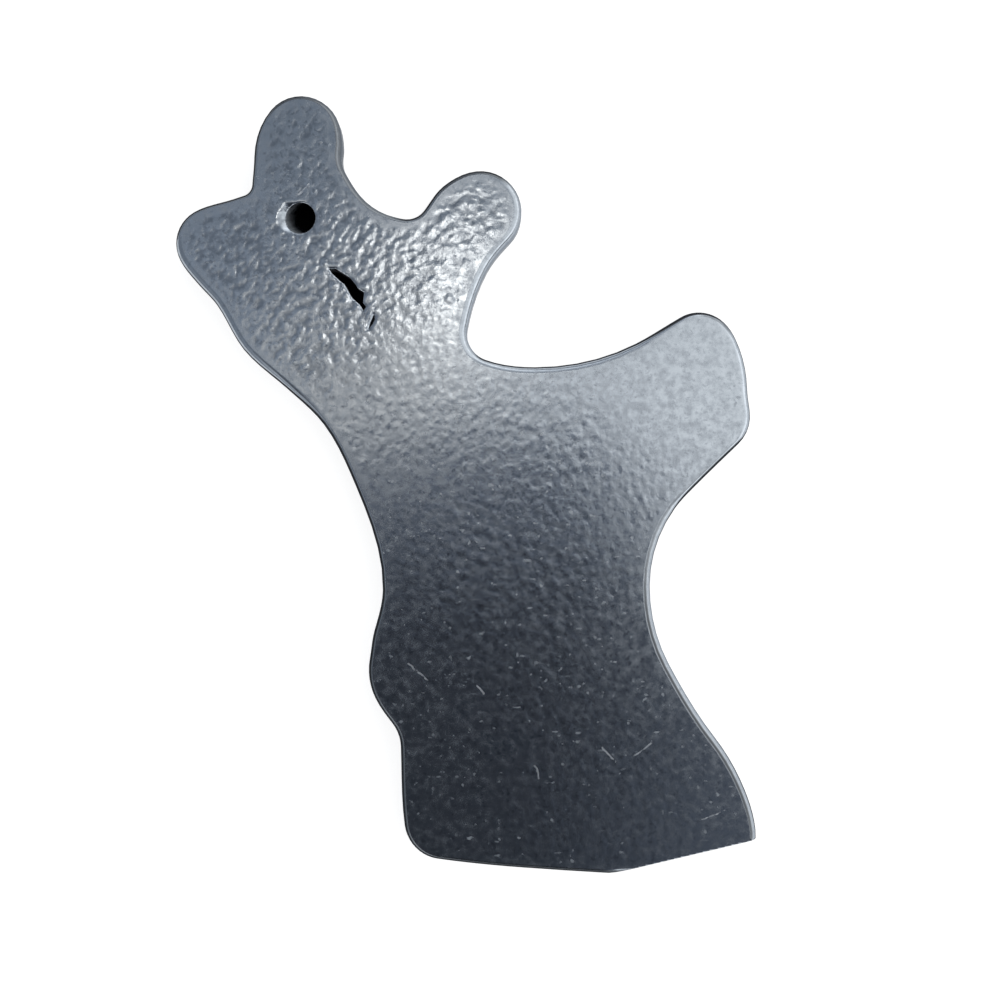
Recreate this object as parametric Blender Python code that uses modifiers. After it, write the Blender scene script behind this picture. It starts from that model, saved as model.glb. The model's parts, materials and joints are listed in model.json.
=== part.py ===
"""Reindeer ornament: one flat cast plate, cut to the outline of a reindeer that looks left.

Metres, +Z up. The plate lies on its back: the front face looks up, the antlers point to +Y and the
muzzle to -X. The origin is under the middle of the plate, on the plane of the back face.

The outline is drawn on its own sheet, with its sole on the line Y = 0, and centred afterwards. It
runs clockwise round the figure. Its points belong to places on the figure, such as the eye or the
rump, which the main sizes put where they are. Round stretches are arcs, and the long stretches
between them are Bezier spans that leave each arc along its own heading. A heading is the direction
of travel in degrees, anticlockwise from +X.
"""

import math
from collections import namedtuple

import bmesh
import bpy
from mathutils import Vector

MM = 0.001

# A round turns from one heading to another about its centre: right where the figure swells out,
# left where it is hollow. A mark is a single point that the outline passes on its heading. Both
# are measured from a place, and so is a corner of a slit.
Place = namedtuple("Place", "x y")
Round = namedtuple("Round", "place x y radius start end")
Mark = namedtuple("Mark", "place x y heading")
Corner = namedtuple("Corner", "x y")

# The plate
PLATE_THICKNESS = 3.5 * MM
EDGE_ROUND = 0.8 * MM
EDGE_ROUND_STEPS = 4
OUTLINE_STEPS = 5
LARGEST_ARC_ANGLE = 60.0

# The main sizes: the foot, the legs up to the waist, the trunk up to the saddle, and from the
# saddle to the eye and to the rump. The belly's hollow lies in front of the knee by its depth.
FOOT_WIDTH = 27.05 * MM
LEG_LENGTH = 28.3 * MM
BELLY_HOLLOW_DEPTH = 5.0 * MM
WAIST_WIDTH = 26.7 * MM
TRUNK_HEIGHT = 21.87 * MM
KNEE_TO_SADDLE = 10.2 * MM
HEAD_REACH = 23.34 * MM
HEAD_RISE = 14.73 * MM
RUMP_REACH = 4.9 * MM
RUMP_RISE = 1.88 * MM
FRONT_ANTLER_LENGTH = 8.4 * MM
ANTLER_SPREAD = 17.94 * MM

# The places that the sizes give
AT_FOOT_FRONT = Place(-2.25 * MM, 0.0)
AT_FOOT_BACK = Place(AT_FOOT_FRONT.x + FOOT_WIDTH, 0.0)
AT_KNEE = Place(-3.3 * MM, 19.9 * MM)
AT_WAIST = Place(AT_KNEE.x - BELLY_HOLLOW_DEPTH + WAIST_WIDTH, LEG_LENGTH)
AT_SADDLE = Place(AT_KNEE.x + KNEE_TO_SADDLE, LEG_LENGTH + TRUNK_HEIGHT)
AT_RUMP = Place(AT_WAIST.x + RUMP_REACH, AT_SADDLE.y + RUMP_RISE)
AT_EYE = Place(AT_SADDLE.x - HEAD_REACH, AT_SADDLE.y + HEAD_RISE)
AT_FRONT_ANTLER = Place(AT_EYE.x, AT_EYE.y + FRONT_ANTLER_LENGTH)
AT_REAR_ANTLER = Place(AT_EYE.x + ANTLER_SPREAD, AT_EYE.y + 0.8 * MM)

# The head: front antler, the hollow between the antlers, rear antler
FRONT_ANTLER_LEFT = Mark(AT_FRONT_ANTLER, -4.71 * MM, -2.2 * MM, 89)
FRONT_ANTLER = Round(AT_FRONT_ANTLER, 0.0, 0.0, 3.95 * MM, 50, -52)
FRONT_ANTLER_RIGHT = Mark(AT_FRONT_ANTLER, 4.03 * MM, -0.8 * MM, -88)
ANTLER_ROOT_HOLLOW = Round(AT_EYE, 6.94 * MM, 6.3 * MM, 3.0 * MM, -88, -62)
BETWEEN_ANTLERS = Round(AT_REAR_ANTLER, -7.1 * MM, 5.8 * MM, 6.5 * MM, -50, -14)
REAR_ANTLER_HOLLOW = Round(AT_REAR_ANTLER, -7.35 * MM, 1.3 * MM, 2.05 * MM, -4, 52)
REAR_ANTLER_FRONT = Mark(AT_REAR_ANTLER, -3.8 * MM, 2.5 * MM, 39)
REAR_ANTLER = Round(AT_REAR_ANTLER, 0.0, 0.0, 4.07 * MM, 6, -134)
NAPE = Mark(AT_REAR_ANTLER, 0.6 * MM, -5.8 * MM, -118)

# The back: saddle, rump, waist
NAPE_HOLLOW = Round(AT_SADDLE, -4.0 * MM, 3.38 * MM, 2.8 * MM, -100, -20)
SADDLE = Mark(AT_SADDLE, 0.0, 0.0, 0)
CROUP = Mark(AT_RUMP, -6.3 * MM, 0.47 * MM, 27)
RUMP = Round(AT_RUMP, 0.0, 0.0, 3.6 * MM, 30, -36)
RUMP_SIDE = Mark(AT_RUMP, 3.7 * MM, 0.85 * MM, -65)
RUMP_BACK = Mark(AT_RUMP, 4.83 * MM, -3.95 * MM, -88)
RUMP_CORNER = Round(AT_RUMP, 1.3 * MM, -6.8 * MM, 3.83 * MM, -82, -136)
UNDER_RUMP = Mark(AT_RUMP, -0.1 * MM, -13.5 * MM, -135)
WAIST_RADIUS = 13.2 * MM
WAIST = Round(AT_WAIST, WAIST_RADIUS, 0.0, WAIST_RADIUS, -126, -90)

# The foot, whose back corner is sawn off along a straight line
HAUNCH = Mark(AT_FOOT_BACK, -4.5 * MM, 20.5 * MM, -62)
HOCK = Mark(AT_FOOT_BACK, 0.1 * MM, 13.15 * MM, -52)
HEEL = Mark(AT_FOOT_BACK, 3.1 * MM, 7.9 * MM, -68)
FOOT_BACK_RADIUS = 4.2 * MM
FOOT_BACK = Round(AT_FOOT_BACK, 0.0, 3.5 * MM, FOOT_BACK_RADIUS, -84, -180)
SOLE = Mark(AT_FOOT_FRONT, 8.25 * MM, 0.14 * MM, -184)
FOOT_FRONT = Round(AT_FOOT_FRONT, 0.0, 4.9 * MM, 3.9 * MM, -188, -262)
SAW_FROM = Place(AT_FOOT_BACK.x - 10.3 * MM, -0.27 * MM)
SAW_TO = Place(AT_FOOT_BACK.x + 4.3 * MM, 3.18 * MM)

# The front: knee, belly, throat, muzzle and brow
KNEE_HOLLOW = Round(AT_KNEE, -7.2 * MM, -7.8 * MM, 4.0 * MM, -268, -232)
KNEE = Round(AT_KNEE, 0.0, 0.0, 6.4 * MM, -250, -280)
KNEE_TOP = Mark(AT_KNEE, -5.82 * MM, 4.0 * MM, -286)
BELLY_HOLLOW = Mark(AT_KNEE, -BELLY_HOLLOW_DEPTH, 8.0 * MM, -271)
BELLY = Mark(AT_EYE, 5.44 * MM, -26.6 * MM, -247)
CHEST = Mark(AT_EYE, 2.24 * MM, -20.45 * MM, -233)
NECK = Mark(AT_EYE, -1.36 * MM, -16.93 * MM, -222)
THROAT = Mark(AT_EYE, -5.76 * MM, -12.97 * MM, -231)
CHIN_HOLLOW = Mark(AT_EYE, -8.41 * MM, -8.55 * MM, -235)
CHIN = Mark(AT_EYE, -10.16 * MM, -6.6 * MM, -229)
MUZZLE = Round(AT_EYE, -8.86 * MM, -2.4 * MM, 3.65 * MM, -243, -330)
BROW = Mark(AT_EYE, -7.46 * MM, 1.85 * MM, -345)
BROW_HOLLOW = Round(AT_EYE, -6.06 * MM, 3.5 * MM, 1.15 * MM, -342, -274)

OUTLINE = (
    FRONT_ANTLER_LEFT,
    FRONT_ANTLER,
    FRONT_ANTLER_RIGHT,
    ANTLER_ROOT_HOLLOW,
    BETWEEN_ANTLERS,
    REAR_ANTLER_HOLLOW,
    REAR_ANTLER_FRONT,
    REAR_ANTLER,
    NAPE,
    NAPE_HOLLOW,
    SADDLE,
    CROUP,
    RUMP,
    RUMP_SIDE,
    RUMP_BACK,
    RUMP_CORNER,
    UNDER_RUMP,
    WAIST,
    HAUNCH,
    HOCK,
    HEEL,
    FOOT_BACK,
    SOLE,
    FOOT_FRONT,
    KNEE_HOLLOW,
    KNEE,
    KNEE_TOP,
    BELLY_HOLLOW,
    BELLY,
    CHEST,
    NECK,
    THROAT,
    CHIN_HOLLOW,
    CHIN,
    MUZZLE,
    BROW,
    BROW_HOLLOW,
)

# The eye, which is also the hole that a cord goes through. It was drilled by hand: its upper end
# leans towards the chin by the two tilts.
EYE_DIAMETER = 3.0 * MM
EYE_STEPS = 48
EYE_TILT_DOWN = math.radians(14)
EYE_TILT_LEFT = math.radians(9)

# The mouth, a ragged slit right through the plate, and a short crack in line with it, as corners
# measured from the eye
MOUTH = (
    Corner(2.84 * MM, -5.02 * MM),
    Corner(3.5 * MM, -4.99 * MM),
    Corner(4.47 * MM, -5.59 * MM),
    Corner(4.93 * MM, -5.88 * MM),
    Corner(5.56 * MM, -6.62 * MM),
    Corner(5.73 * MM, -6.97 * MM),
    Corner(6.36 * MM, -7.37 * MM),
    Corner(6.25 * MM, -8.43 * MM),
    Corner(6.57 * MM, -8.78 * MM),
    Corner(6.31 * MM, -9.21 * MM),
    Corner(5.91 * MM, -8.57 * MM),
    Corner(5.22 * MM, -8.0 * MM),
    Corner(4.99 * MM, -7.66 * MM),
    Corner(4.41 * MM, -6.57 * MM),
    Corner(3.95 * MM, -6.22 * MM),
    Corner(3.15 * MM, -5.48 * MM),
)
CRACK = (
    Corner(7.34 * MM, -9.49 * MM),
    Corner(7.42 * MM, -10.08 * MM),
    Corner(7.2 * MM, -10.56 * MM),
    Corner(6.77 * MM, -11.04 * MM),
    Corner(6.93 * MM, -10.43 * MM),
    Corner(7.17 * MM, -9.93 * MM),
)
CRACK_DEPTH = 1.2 * MM

# How far a cutter reaches past the face that it goes through
CUT_PAST = 0.5 * MM
# Points nearer than this are one point, where a curve's caps meet its walls
WELD = 0.001 * MM
# A face that looks up or down by more than this is part of a cap, and not of the wall
CAP_NORMAL = 0.5
SMOOTH_ANGLE = math.radians(30)


def clear_scene():
    """Removes every object that the scene starts with."""
    for obj in list(bpy.data.objects):
        bpy.data.objects.remove(obj, do_unlink=True)


def new_collection(name):
    """A collection of this name under the scene's own."""
    collection = bpy.data.collections.new(name)
    bpy.context.scene.collection.children.link(collection)
    return collection


def along(heading):
    """The unit vector of a heading in degrees."""
    return Vector((math.cos(math.radians(heading)), math.sin(math.radians(heading)), 0.0))


def sheet_point(place, x, y):
    """The point of the sheet that lies x and y from a place."""
    return Vector((place.x + x, place.y + y, 0.0))


def round_points(item):
    """(point, heading) at even steps of a round, none wider than LARGEST_ARC_ANGLE."""
    turn = item.end - item.start
    spans = math.ceil(abs(turn) / LARGEST_ARC_ANGLE)
    centre = sheet_point(item.place, item.x, item.y)
    # The centre is to the right of the path where it turns right, and to the left elsewhere.
    side = -math.copysign(item.radius, turn)
    points = []
    for step in range(spans + 1):
        heading = item.start + turn * step / spans
        left = along(heading + 90)
        points.append((centre + side * left, heading))
    return points


def outline_points(outline):
    """(point, heading) of every control point, in order round the figure."""
    points = []
    for item in outline:
        if isinstance(item, Round):
            points += round_points(item)
        else:
            points.append((sheet_point(item.place, item.x, item.y), item.heading))
    return points


def add_tangent_spline(curve, points):
    """A closed Bezier spline through the points, which leaves each along its heading.

    A handle of chord / (3 cos^2(turn / 4)) makes a span of a circle a true arc.
    """
    spline = curve.splines.new("BEZIER")
    spline.bezier_points.add(len(points) - 1)
    spline.use_cyclic_u = True
    for index, (start, start_heading) in enumerate(points):
        following = (index + 1) % len(points)
        end, end_heading = points[following]
        turn = math.radians((end_heading - start_heading + 180) % 360 - 180)
        handle = (end - start).length / (3 * math.cos(turn / 4) ** 2)
        knot = spline.bezier_points[index]
        knot.handle_left_type = knot.handle_right_type = "FREE"
        knot.co = start
        knot.handle_right = start + handle * along(start_heading)
        spline.bezier_points[following].handle_left = end - handle * along(end_heading)


def add_slit_spline(curve, corners):
    """A closed straight-sided spline through a slit's corners."""
    spline = curve.splines.new("POLY")
    spline.points.add(len(corners) - 1)
    spline.use_cyclic_u = True
    for knot, corner in zip(spline.points, corners):
        knot.co = (*sheet_point(AT_EYE, corner.x, corner.y), 1.0)


def flat_curve(name, steps):
    """A filled 2D curve with no splines yet."""
    curve = bpy.data.curves.new(name, "CURVE")
    curve.dimensions = "2D"
    curve.fill_mode = "BOTH"
    curve.resolution_u = steps
    return curve


def solid_from_curve(curve, name, collection, low, high):
    """Turns a filled 2D curve into a closed mesh object from height low to height high."""
    curve.extrude = (high - low) / 2
    guide = bpy.data.objects.new(name + "_curve", curve)
    guide.location.z = (high + low) / 2
    collection.objects.link(guide)
    bpy.context.view_layer.update()
    evaluated = guide.evaluated_get(bpy.context.evaluated_depsgraph_get())
    mesh = bpy.data.meshes.new_from_object(evaluated)
    mesh.name = name
    shape = bmesh.new()
    shape.from_mesh(mesh)
    bmesh.ops.remove_doubles(shape, verts=shape.verts, dist=WELD)
    bmesh.ops.recalc_face_normals(shape, faces=shape.faces)
    caps = [face for face in shape.faces if abs(face.normal.z) > CAP_NORMAL]
    bmesh.ops.dissolve_faces(shape, faces=caps)
    shape.to_mesh(mesh)
    shape.free()
    solid = bpy.data.objects.new(name, mesh)
    solid.matrix_world = guide.matrix_world.copy()
    collection.objects.link(solid)
    bpy.data.objects.remove(guide, do_unlink=True)
    return solid


def make_cutter(obj, frame):
    """Hides an object that only cuts, and hangs it on the plate's frame."""
    obj.hide_render = True
    obj.display_type = "WIRE"
    obj.parent = frame
    return obj


def cut(obj, cutter):
    """Cuts one solid out of another."""
    modifier = obj.modifiers.new("cut_" + cutter.name, "BOOLEAN")
    modifier.operation = "DIFFERENCE"
    modifier.solver = "EXACT"
    modifier.object = cutter


def metal():
    """Tumbled cast aluminium, satin and a little blue."""
    material = bpy.data.materials.new("tumbled_aluminium")
    material.use_nodes = True
    shader = material.node_tree.nodes["Principled BSDF"]
    shader.inputs["Base Color"].default_value = (0.42, 0.45, 0.49, 1.0)
    shader.inputs["Metallic"].default_value = 1.0
    shader.inputs["Roughness"].default_value = 0.4
    return material


def plate(collection, frame):
    """The plate before its cuts: the outline, extruded, with both edges rounded."""
    curve = flat_curve("plate_outline", OUTLINE_STEPS)
    add_tangent_spline(curve, outline_points(OUTLINE))
    solid = solid_from_curve(curve, "reindeer_plate", collection, 0.0, PLATE_THICKNESS)
    solid.parent = frame
    edges = solid.modifiers.new("edge_round", "BEVEL")
    edges.width = EDGE_ROUND
    edges.segments = EDGE_ROUND_STEPS
    edges.limit_method = "ANGLE"
    edges.angle_limit = SMOOTH_ANGLE
    edges.use_clamp_overlap = False
    return solid


def saw_cutter(collection, frame):
    """A box whose long upper side is the saw line across the foot's back corner."""
    line = Vector((SAW_TO.x - SAW_FROM.x, SAW_TO.y - SAW_FROM.y))
    size = (line.length + 2 * CUT_PAST, FOOT_BACK_RADIUS, PLATE_THICKNESS + 2 * CUT_PAST)
    shape = bmesh.new()
    bmesh.ops.create_cube(shape, size=1.0)
    bmesh.ops.scale(shape, verts=shape.verts, vec=size)
    bmesh.ops.translate(shape, verts=shape.verts, vec=(line.length / 2, -size[1] / 2, 0.0))
    mesh = bpy.data.meshes.new("saw_cutter")
    shape.to_mesh(mesh)
    shape.free()
    cutter = bpy.data.objects.new("saw_cutter", mesh)
    cutter.location = (*SAW_FROM, PLATE_THICKNESS / 2)
    cutter.rotation_euler.z = math.atan2(line.y, line.x)
    collection.objects.link(cutter)
    return make_cutter(cutter, frame)


def eye_cutter(collection, frame):
    """A drill whose axis crosses the front face at the eye and leans there by the two tilts."""
    slant = PLATE_THICKNESS / (math.cos(EYE_TILT_DOWN) * math.cos(EYE_TILT_LEFT))
    past = EYE_DIAMETER / 2 * math.tan(EYE_TILT_DOWN + EYE_TILT_LEFT) + CUT_PAST
    shape = bmesh.new()
    bmesh.ops.create_cone(
        shape,
        cap_ends=True,
        segments=EYE_STEPS,
        radius1=EYE_DIAMETER / 2,
        radius2=EYE_DIAMETER / 2,
        depth=slant + 2 * past,
    )
    bmesh.ops.translate(shape, verts=shape.verts, vec=(0.0, 0.0, -slant / 2))
    mesh = bpy.data.meshes.new("eye_cutter")
    shape.to_mesh(mesh)
    shape.free()
    cutter = bpy.data.objects.new("eye_cutter", mesh)
    cutter.location = (*AT_EYE, PLATE_THICKNESS)
    cutter.rotation_euler = (EYE_TILT_DOWN, -EYE_TILT_LEFT, 0.0)
    collection.objects.link(cutter)
    return make_cutter(cutter, frame)


def slit_cutter(name, corners, low, collection, frame):
    """A thin ragged blade that reaches from height low out through the front face."""
    curve = flat_curve(name, OUTLINE_STEPS)
    add_slit_spline(curve, corners)
    blade = solid_from_curve(curve, name, collection, low, PLATE_THICKNESS + CUT_PAST)
    return make_cutter(blade, frame)


def centre_on_origin(obj, frame):
    """Moves the shared frame so that the middle of the finished plate is over the origin."""
    bpy.context.view_layer.update()
    evaluated = obj.evaluated_get(bpy.context.evaluated_depsgraph_get())
    corners = [evaluated.matrix_world @ Vector(corner) for corner in evaluated.bound_box]
    for axis in (0, 1):
        values = [corner[axis] for corner in corners]
        frame.location[axis] -= (min(values) + max(values)) / 2


def main():
    clear_scene()
    parts = new_collection("reindeer_ornament")
    cutters = new_collection("cutters")
    cutters.hide_render = True
    frame = bpy.data.objects.new("plate_frame", None)
    parts.objects.link(frame)

    body = plate(parts, frame)
    body.data.materials.append(metal())
    cut(body, saw_cutter(cutters, frame))
    cut(body, eye_cutter(cutters, frame))
    cut(body, slit_cutter("mouth_cutter", MOUTH, -CUT_PAST, cutters, frame))
    crack_floor = PLATE_THICKNESS - CRACK_DEPTH
    cut(body, slit_cutter("crack_cutter", CRACK, crack_floor, cutters, frame))
    body.data.shade_smooth()
    body.data.set_sharp_from_angle(angle=SMOOTH_ANGLE)
    # The broad faces set the shading at their corners, so that they look as flat as they are.
    normals = body.modifiers.new("flat_faces", "WEIGHTED_NORMAL")
    normals.keep_sharp = True
    centre_on_origin(body, frame)
    bpy.context.view_layer.update()


main()
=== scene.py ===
"""Reindeer ornament: the tumbled skin of its one cast plate, and the small studio that it lies in.

Metres, +Z up. The plate lies on its back: the front face looks up, the antlers point to +Y and the
muzzle to -X. The skin starts as a copy of the plate in the frame. A fine square mesh is cut into
its flat faces, and the pebbles, dents and worn edges of the casting are pressed into that.
"""

import json
import logging
import math
from dataclasses import dataclass
from enum import Enum

import bmesh
import bpy
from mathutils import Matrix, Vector, kdtree, noise


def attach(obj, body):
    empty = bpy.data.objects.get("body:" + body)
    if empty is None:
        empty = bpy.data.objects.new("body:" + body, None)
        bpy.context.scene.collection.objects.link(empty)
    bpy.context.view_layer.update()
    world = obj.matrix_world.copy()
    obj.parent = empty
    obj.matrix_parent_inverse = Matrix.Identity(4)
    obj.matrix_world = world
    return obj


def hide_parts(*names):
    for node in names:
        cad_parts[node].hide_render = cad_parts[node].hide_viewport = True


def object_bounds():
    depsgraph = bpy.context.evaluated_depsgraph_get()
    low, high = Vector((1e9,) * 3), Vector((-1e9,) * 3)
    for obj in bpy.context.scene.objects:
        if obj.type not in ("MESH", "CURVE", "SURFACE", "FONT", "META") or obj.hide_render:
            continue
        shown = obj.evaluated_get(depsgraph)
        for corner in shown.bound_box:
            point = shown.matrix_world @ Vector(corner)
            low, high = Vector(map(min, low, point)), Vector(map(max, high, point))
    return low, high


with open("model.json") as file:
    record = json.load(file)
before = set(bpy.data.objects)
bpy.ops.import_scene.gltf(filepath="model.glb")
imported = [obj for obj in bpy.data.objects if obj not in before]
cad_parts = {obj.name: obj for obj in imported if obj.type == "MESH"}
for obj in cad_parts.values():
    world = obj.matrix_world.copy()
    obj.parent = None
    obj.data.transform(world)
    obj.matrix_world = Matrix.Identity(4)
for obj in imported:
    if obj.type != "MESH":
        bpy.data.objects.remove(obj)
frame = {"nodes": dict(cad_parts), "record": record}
cad_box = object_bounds()

logging.basicConfig(level=logging.INFO, format="%(name)s: %(message)s")
log = logging.getLogger("reindeer")

MM = 0.001
CAMERA_PLACE = Vector((3.4 * MM, -1.55 * MM, 120.0 * MM))
WHITE = (1.0, 1.0, 1.0, 1.0)

# The marks from 0 to 1 that the skin's mesh carries for its material.
GRAIN = "grain"
HOLLOW = "hollow"
# The rim marks say where the rim is polished round, and where painted shade is left off it, veils it or
# dims it.
RIM_MARKS = ("polished", "bare", "veiled", "dimmed")

# The shares of its radius and of its spread within which an area or a stretch is at full strength.
CORE = 0.3
FIRM = 0.6

Socket = bpy.types.NodeSocket
Feed = Socket | float | tuple[float, ...]


def smoothstep(value: float, low: float, high: float) -> float:
    """Rises smoothly from 0 where value is low to 1 where it is high.

    Args:
        value: What is looked at.
        low: The value that gives 0.
        high: The value that gives 1. It may be under low.

    Returns:
        A share from 0 to 1.
    """
    share = min(1.0, max(0.0, (value - low) / (high - low)))
    return share * share * (3 - 2 * share)


class ShaderGraph:
    """The node tree of one material or world, and short ways to add nodes to it."""

    # A Mix node has its own sockets for each kind of value: the share, the first and the second.
    NUMBER_MIX = (0, 2, 3)
    COLOUR_MIX = (0, 6, 7)
    MIXED_COLOUR = 2

    def __init__(self, tree: bpy.types.NodeTree) -> None:
        """Empties the tree.

        Args:
            tree: The tree that the nodes go into.
        """
        self.tree = tree
        self.tree.nodes.clear()

    def feed(self, socket: Socket, value: Feed) -> None:
        """Links a socket to another one, or sets it where the value is a constant.

        Args:
            socket: The input.
            value: Another node's output, or a constant.
        """
        if isinstance(value, bpy.types.NodeSocket):
            self.tree.links.new(value, socket)
        else:
            socket.default_value = value

    def node(
        self, kind: str, inputs: dict[str | int, Feed] | None = None, **settings: object
    ) -> bpy.types.Node:
        """Adds a node.

        Args:
            kind: Blender's name of the node's type.
            inputs: What goes into its sockets, by their names or numbers.
            **settings: The node's own properties.

        Returns:
            The new node.
        """
        made = self.tree.nodes.new(kind)
        for name, value in settings.items():
            setattr(made, name, value)
        for name, value in (inputs or {}).items():
            self.feed(made.inputs[name], value)
        return made

    def surface(self, shader: Socket) -> None:
        """Makes a shader the surface of the material."""
        self.node("ShaderNodeOutputMaterial", {"Surface": shader})

    def mark(self, name: str) -> Socket:
        """One of the marks that the mesh carries, from 0 to 1."""
        return self.node("ShaderNodeAttribute", attribute_name=name).outputs["Fac"]

    def axes(self, vector: Socket) -> bpy.types.NodeOutputs:
        """A vector's own X, Y and Z."""
        return self.node("ShaderNodeSeparateXYZ", {"Vector": vector}).outputs

    def calculate(self, operation: str, *values: Feed) -> Socket:
        """Does one sum on numbers.

        Args:
            operation: Blender's name of the sum, such as ADD or MAXIMUM.
            *values: Its numbers, in order.

        Returns:
            The socket of the result.
        """
        made = self.node("ShaderNodeMath", operation=operation)
        for socket, value in zip(made.inputs, values):
            self.feed(socket, value)
        return made.outputs[0]

    def fade(self, value: Feed, low: float, high: float) -> Socket:
        """Rises smoothly from 0 where the value is low to 1 where it is high.

        Args:
            value: What is looked at.
            low: The value that gives 0.
            high: The value that gives 1. It may be under low.

        Returns:
            The socket of a share from 0 to 1.
        """
        made = self.node(
            "ShaderNodeMapRange",
            {"Value": value, "From Min": low, "From Max": high},
            interpolation_type="SMOOTHSTEP",
        )
        return made.outputs["Result"]

    def blend(self, share: Feed, first: Feed, second: Feed) -> Socket:
        """Goes from the first number to the second as the share goes from 0 to 1.

        Args:
            share: How much of the second number there is.
            first: The number at 0.
            second: The number at 1.

        Returns:
            The socket of the number between them.
        """
        made = self.node("ShaderNodeMix", data_type="FLOAT")
        for index, value in zip(self.NUMBER_MIX, (share, first, second)):
            self.feed(made.inputs[index], value)
        return made.outputs[0]

    def blend_colours(self, share: Feed, first: Feed, second: Feed) -> Socket:
        """Goes from the first colour to the second as the share goes from 0 to 1.

        Args:
            share: How much of the second colour there is.
            first: The colour at 0.
            second: The colour at 1.

        Returns:
            The socket of the colour between them.
        """
        made = self.node("ShaderNodeMix", data_type="RGBA")
        for index, value in zip(self.COLOUR_MIX, (share, first, second)):
            self.feed(made.inputs[index], value)
        return made.outputs[self.MIXED_COLOUR]

    def turned(self, vector: Socket, angle: float, stretch: tuple[float, float, float]) -> Socket:
        """Turns a pattern's coordinates about Z and scales them along each axis.

        Args:
            vector: The coordinates.
            angle: How far they are turned, in radians.
            stretch: What each axis is multiplied by. Under 1, the pattern is drawn out.

        Returns:
            The socket of the new coordinates.
        """
        made = self.node(
            "ShaderNodeMapping",
            {"Vector": vector, "Rotation": (0.0, 0.0, angle), "Scale": stretch},
        )
        return made.outputs["Vector"]

    def distance(self, first: Feed, second: Feed) -> Socket:
        """The distance between two points."""
        made = self.node("ShaderNodeVectorMath", {0: first, 1: second}, operation="DISTANCE")
        return made.outputs["Value"]

    def joined(self, x: Feed, y: Feed) -> Socket:
        """A vector of two numbers, with 0 for its z."""
        return self.node("ShaderNodeCombineXYZ", {"X": x, "Y": y}).outputs["Vector"]

    def noise(self, vector: Socket, size: float, detail: float = 2.0, roughness: float = 0.5) -> Socket:
        """Soft noise from 0 to 1.

        Args:
            vector: The coordinates in metres.
            size: How wide one swell of the noise is, in metres.
            detail: How many finer layers there are.
            roughness: How much the finer layers weigh.

        Returns:
            The socket of the noise.
        """
        made = self.node(
            "ShaderNodeTexNoise",
            {"Vector": vector, "Scale": 1.0 / size, "Detail": detail, "Roughness": roughness},
        )
        return made.outputs["Fac"]

    def near_line(self, vector: Socket, start: Vector, end: Vector, width: float) -> Socket:
        """A mask of one short scratch, seen along Z.

        Args:
            vector: The coordinates in metres.
            start: Where the scratch starts.
            end: Where it ends.
            width: How wide it is in metres.

        Returns:
            The socket of the mask: 1 along the scratch, 0 off it.
        """
        run = end - start
        turn = math.atan2(run.y, run.x)
        made = self.node(
            "ShaderNodeMapping",
            {"Vector": vector, "Location": start.lerp(end, 0.5), "Rotation": (0.0, 0.0, turn)},
            vector_type="TEXTURE",
        )
        axes = self.axes(made.outputs["Vector"])
        along = self.calculate("SUBTRACT", self.calculate("ABSOLUTE", axes["X"]), run.length / 2)
        across = self.calculate("ABSOLUTE", axes["Y"])
        off = self.calculate("MAXIMUM", along, across)
        return self.fade(off, width, 0.0)


@dataclass
class OverheadCamera:
    """The camera, which looks straight down on the plate.

    Attributes:
        place: Where the camera is.
        picture_width: How wide the picture is at the height where the plate is widest.
        widest_height: The height above the back face where the plate's edge rounding starts.
        sensor_width: The width of the sensor in millimetres.
        nearest: How far away things start to show.
        farthest: How far away they still show.
    """

    place: Vector
    picture_width: float = 100.0 * MM
    widest_height: float = 2.75 * MM
    sensor_width: float = 36.0
    nearest: float = 10.0 * MM
    farthest: float = 10.0

    def build(self) -> None:
        """Makes the camera and gives it to the scene."""
        data = bpy.data.cameras.new("overhead_camera")
        data.sensor_width = self.sensor_width
        data.lens = self.sensor_width * (self.place.z - self.widest_height) / self.picture_width
        data.clip_start = self.nearest
        data.clip_end = self.farthest
        camera = bpy.data.objects.new("overhead_camera", data)
        camera.location = self.place
        bpy.context.scene.collection.objects.link(camera)
        bpy.context.scene.camera = camera


@dataclass(frozen=True)
class Lamp:
    """A soft round light of the room, or a soft round shade where its light is under 0.

    Attributes:
        x: Its middle, as the room names its spots, in metres.
        y: Its middle, as the room names its spots, in metres.
        radius: Where it has faded out.
        light: What it adds in its middle.
    """

    x: float
    y: float
    radius: float
    light: tuple[float, float, float]


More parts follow.
